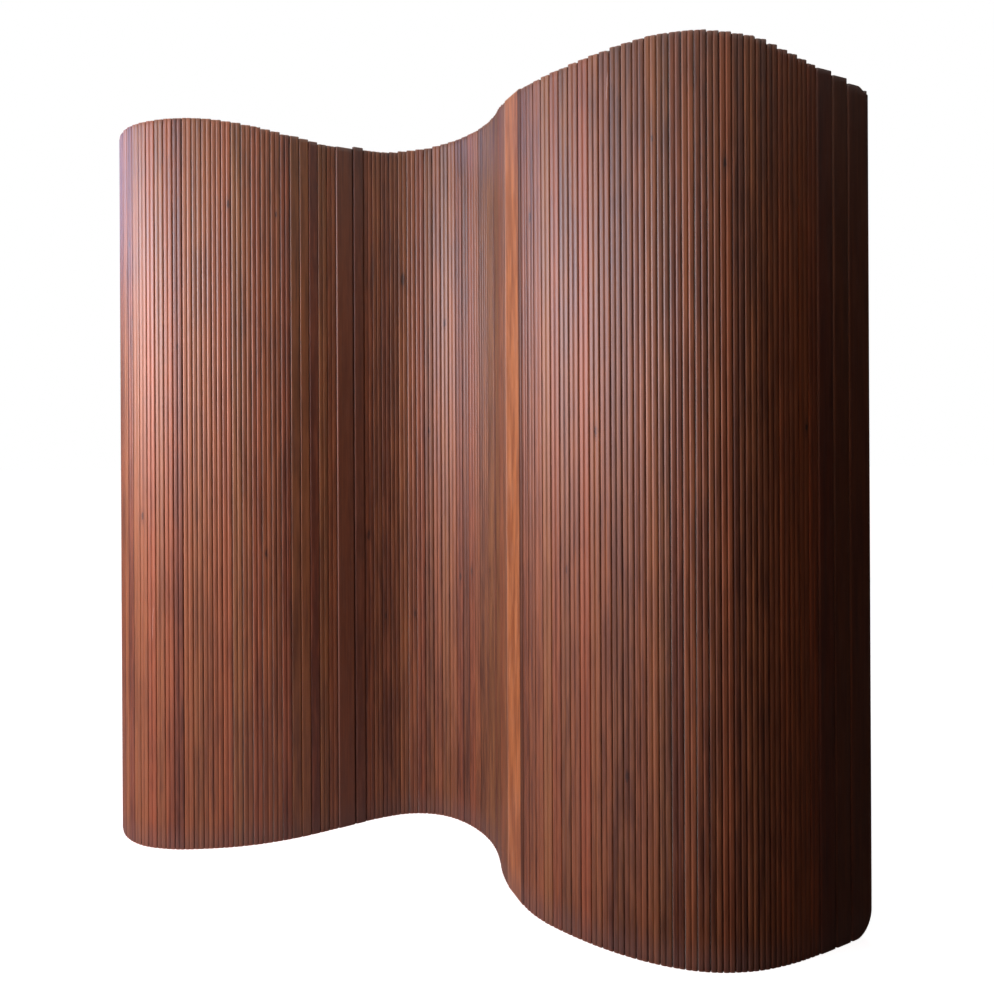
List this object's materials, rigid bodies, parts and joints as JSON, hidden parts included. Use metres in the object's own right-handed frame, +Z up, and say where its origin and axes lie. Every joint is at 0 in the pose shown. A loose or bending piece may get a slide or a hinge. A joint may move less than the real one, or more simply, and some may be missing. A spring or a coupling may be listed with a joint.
{
  "type": "slat room divider",
  "caption": "Roll-up screen of upright reeded wood slats and plain boards threaded on steel cables, free-standing in a long S wave, folding at the gaps between its parts.",
  "frame": {"origin": "on the floor, under the middle of the plan of the standing screen", "axes": "+X along the screen, from its left end to its right end, +Y to the back of the screen as it stands, +Z up"},
  "size_m": [1.68, 0.6344, 1.72],
  "materials": {
    "stained_slats": "satin varnish over reddish brown stain",
    "dark_boards": "satin varnish over dark brown stain",
    "honey_board": "satin varnish over honey brown stain",
    "steel_cable": "stranded steel wire",
    "ferrule": "crimped, dull"
  },
  "bodies": {
    "left_end_stile": {"left_end_stile": "dark_boards", "cables_01": "steel_cable", "left_ferrules": "ferrule"},
    "slats_01": {"slats_01": "stained_slats", "cables_02": "steel_cable"},
    "slats_02": {"slats_02": "stained_slats", "cables_03": "steel_cable"},
    "slats_03": {"slats_03": "stained_slats", "cables_04": "steel_cable"},
    "slats_04": {"slats_04": "stained_slats", "cables_05": "steel_cable"},
    "slats_05": {"slats_05": "stained_slats", "cables_06": "steel_cable"},
    "slats_06": {"slats_06": "stained_slats", "cables_07": "steel_cable"},
    "smooth_slats": {"smooth_slats": "stained_slats", "cables_08": "steel_cable"},
    "slats_07": {"slats_07": "stained_slats", "cables_09": "steel_cable"},
    "valley_board": {"valley_board": "dark_boards", "cables_10": "steel_cable"},
    "narrow_board": {"narrow_board": "dark_boards", "cables_11": "steel_cable"},
    "slats_08": {"slats_08": "stained_slats", "cables_12": "steel_cable"},
    "slats_09": {"slats_09": "stained_slats", "cables_13": "steel_cable"},
    "slats_10": {"slats_10": "stained_slats", "cables_14": "steel_cable"},
    "slats_11": {"slats_11": "stained_slats", "cables_15": "steel_cable"},
    "slats_12": {"slats_12": "stained_slats", "cables_16": "steel_cable"},
    "slats_13": {"slats_13": "stained_slats", "cables_17": "steel_cable"},
    "slats_14": {"slats_14": "stained_slats", "cables_18": "steel_cable"},
    "broad_board": {"broad_board": "honey_board", "cables_19": "steel_cable"},
    "slats_15": {"slats_15": "stained_slats", "cables_20": "steel_cable"},
    "slats_16": {"slats_16": "stained_slats", "cables_21": "steel_cable"},
    "slats_17": {"slats_17": "stained_slats", "cables_22": "steel_cable"},
    "slats_18": {"slats_18": "stained_slats", "cables_23": "steel_cable"},
    "slats_19": {"slats_19": "stained_slats", "cables_24": "steel_cable"},
    "slats_20": {"slats_20": "stained_slats", "cables_25": "steel_cable"},
    "slats_21": {"slats_21": "stained_slats", "cables_26": "steel_cable"},
    "right_boards": {"right_boards": "dark_boards", "cables_27": "steel_cable"},
    "right_end_stile": {"right_end_stile": "dark_boards", "cables_28": "steel_cable", "right_ferrules": "ferrule"}
  },
  "joints": [
    {"name": "fold_01", "type": "hinge", "parent": "slats_01", "child": "left_end_stile", "pos_m": [-0.8152, 0.23715, 0.85], "axis": [0, 0, 1], "range_deg": [-4, 20]},
    {"name": "fold_02", "type": "hinge", "parent": "slats_02", "child": "slats_01", "pos_m": [-0.77578, 0.1829, 0.85], "axis": [0, 0, 1], "range_deg": [-4, 20]},
    {"name": "fold_03", "type": "hinge", "parent": "slats_03", "child": "slats_02", "pos_m": [-0.69588, 0.14392, 0.85], "axis": [0, 0, 1], "range_deg": [-8, 16]},
    {"name": "fold_04", "type": "hinge", "parent": "slats_04", "child": "slats_03", "pos_m": [-0.60637, 0.13766, 0.85], "axis": [0, 0, 1], "range_deg": [-10.5, 13.5]},
    {"name": "fold_05", "type": "hinge", "parent": "slats_05", "child": "slats_04", "pos_m": [-0.51686, 0.14668, 0.85], "axis": [0, 0, 1], "range_deg": [-9.5, 14.5]},
    {"name": "fold_06", "type": "hinge", "parent": "slats_06", "child": "slats_05", "pos_m": [-0.42973, 0.1688, 0.85], "axis": [0, 0, 1], "range_deg": [-10, 14]},
    {"name": "fold_07", "type": "hinge", "parent": "smooth_slats", "child": "slats_06", "pos_m": [-0.38773, 0.18493, 0.85], "axis": [0, 0, 1], "range_deg": [-10, 14]},
    {"name": "fold_08", "type": "hinge", "parent": "slats_07", "child": "smooth_slats", "pos_m": [-0.32708, 0.21451, 0.85], "axis": [0, 0, 1], "range_deg": [-11.5, 12.5]},
    {"name": "fold_09", "type": "hinge", "parent": "valley_board", "child": "slats_07", "pos_m": [-0.28763, 0.23615, 0.85], "axis": [0, 0, 1], "range_deg": [-11, 13]},
    {"name": "fold_10", "type": "hinge", "parent": "narrow_board", "child": "valley_board", "pos_m": [-0.24866, 0.25865, 0.85], "axis": [0, 0, 1], "range_deg": [-13, 11]},
    {"name": "fold_11", "type": "hinge", "parent": "slats_08", "child": "narrow_board", "pos_m": [-0.22417, 0.27222, 0.85], "axis": [0, 0, 1], "range_deg": [-14.5, 9.5]},
    {"name": "fold_12", "type": "hinge", "parent": "slats_09", "child": "slats_08", "pos_m": [-0.14127, 0.30699, 0.85], "axis": [0, 0, 1], "range_deg": [-19.5, 4.5]},
    {"name": "fold_13", "type": "hinge", "parent": "slats_10", "child": "slats_09", "pos_m": [-0.05223, 0.30738, 0.85], "axis": [0, 0, 1], "range_deg": [-19.5, 4.5]},
    {"name": "fold_14", "type": "hinge", "parent": "slats_11", "child": "slats_10", "pos_m": [0.02507, 0.26319, 0.85], "axis": [0, 0, 1], "range_deg": [-16.5, 7.5]},
    {"name": "fold_15", "type": "hinge", "parent": "slats_11", "child": "slats_12", "pos_m": [0.07996, 0.19231, 0.85], "axis": [0, 0, 1], "range_deg": [-7.5, 16.5]},
    {"name": "fold_16", "type": "hinge", "parent": "slats_12", "child": "slats_13", "pos_m": [0.11025, 0.10793, 0.85], "axis": [0, 0, 1], "range_deg": [-9, 15]},
    {"name": "fold_17", "type": "hinge", "parent": "slats_13", "child": "slats_14", "pos_m": [0.11847, 0.04099, 0.85], "axis": [0, 0, 1], "range_deg": [-16, 8]},
    {"name": "fold_18", "type": "hinge", "parent": "slats_14", "child": "broad_board", "pos_m": [0.13248, -0.02493, 0.85], "axis": [0, 0, 1], "range_deg": [-18.5, 5.5]},
    {"name": "fold_19", "type": "hinge", "parent": "broad_board", "child": "slats_15", "pos_m": [0.16386, -0.10068, 0.85], "axis": [0, 0, 1], "range_deg": [-18, 6]},
    {"name": "fold_20", "type": "hinge", "parent": "slats_15", "child": "slats_16", "pos_m": [0.21828, -0.1716, 0.85], "axis": [0, 0, 1], "range_deg": [-14, 10]},
    {"name": "fold_21", "type": "hinge", "parent": "slats_16", "child": "slats_17", "pos_m": [0.28866, -0.22758, 0.85], "axis": [0, 0, 1], "range_deg": [-14, 10]},
    {"name": "fold_22", "type": "hinge", "parent": "slats_17", "child": "slats_18", "pos_m": [0.36615, -0.27323, 0.85], "axis": [0, 0, 1], "range_deg": [-15, 9]},
    {"name": "fold_23", "type": "hinge", "parent": "slats_18", "child": "slats_19", "pos_m": [0.45057, -0.30395, 0.85], "axis": [0, 0, 1], "range_deg": [-16, 8]},
    {"name": "fold_24", "type": "hinge", "parent": "slats_19", "child": "slats_20", "pos_m": [0.53989, -0.31256, 0.85], "axis": [0, 0, 1], "range_deg": [-16, 8]},
    {"name": "fold_25", "type": "hinge", "parent": "slats_20", "child": "slats_21", "pos_m": [0.62811, -0.2962, 0.85], "axis": [0, 0, 1], "range_deg": [-14.5, 9.5]},
    {"name": "fold_26", "type": "hinge", "parent": "slats_21", "child": "right_boards", "pos_m": [0.71101, -0.26144, 0.85], "axis": [0, 0, 1], "range_deg": [-12.5, 11.5]},
    {"name": "fold_27", "type": "hinge", "parent": "right_boards", "child": "right_end_stile", "pos_m": [0.78569, -0.22298, 0.85], "axis": [0, 0, 1], "range_deg": [-13.5, 10.5]}
  ]
}
